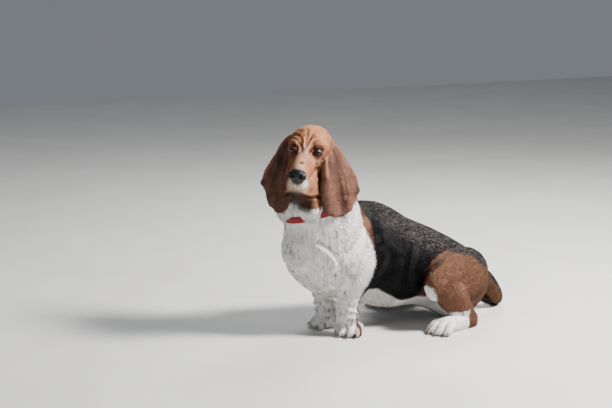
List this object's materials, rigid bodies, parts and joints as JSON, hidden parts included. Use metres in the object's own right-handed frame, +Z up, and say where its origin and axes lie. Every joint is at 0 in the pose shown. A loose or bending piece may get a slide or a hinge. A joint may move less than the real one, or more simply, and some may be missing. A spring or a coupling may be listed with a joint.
{
  "type": "basset hound",
  "caption": "Life-size still basset hound, sitting with its head turned to its left; long hanging ears, dewlap, low heavy legs, tail on the floor and a plain collar.",
  "frame": {"origin": "middle of the bounding box's base, on the floor", "axes": "+Z up, the dog's body faces -Y, its left side is +X, and its head turns towards +X"},
  "size_m": [0.4516, 0.798, 0.585],
  "materials": {
    "tan_coat": "short tan fur",
    "ear_coat": "short red-brown fur",
    "white_coat": "short white fur with tan ticking",
    "saddle_coat": "short black fur",
    "eye": "wet dark brown",
    "nose": "moist pebbled black leather",
    "claw": "pale horn",
    "collar": "dark red strap"
  },
  "bodies": {
    "root": {"collar": "collar", "ear_left": "ear_coat", "ear_right": "ear_coat", "eye_left": "eye", "eye_right": "eye", "foreleg_left": "white_coat", "foreleg_right": "white_coat", "forepaw_left": "white_coat", "forepaw_left_claw_1": "claw", "forepaw_left_claw_2": "claw", "forepaw_left_claw_3": "claw", "forepaw_left_claw_4": "claw", "forepaw_right": "white_coat", "forepaw_right_claw_1": "claw", "forepaw_right_claw_2": "claw", "forepaw_right_claw_3": "claw", "forepaw_right_claw_4": "claw", "head": "tan_coat", "hindleg_left": "tan_coat", "hindleg_right": "tan_coat", "hindpaw_left": "white_coat", "hindpaw_left_claw_1": "claw", "hindpaw_left_claw_2": "claw", "hindpaw_left_claw_3": "claw", "hindpaw_left_claw_4": "claw", "hindpaw_right": "white_coat", "hindpaw_right_claw_1": "claw", "hindpaw_right_claw_2": "claw", "hindpaw_right_claw_3": "claw", "hindpaw_right_claw_4": "claw", "neck": "white_coat", "nose": "nose", "tail": "tan_coat", "torso": "saddle_coat"}
  },
  "joints": []
}
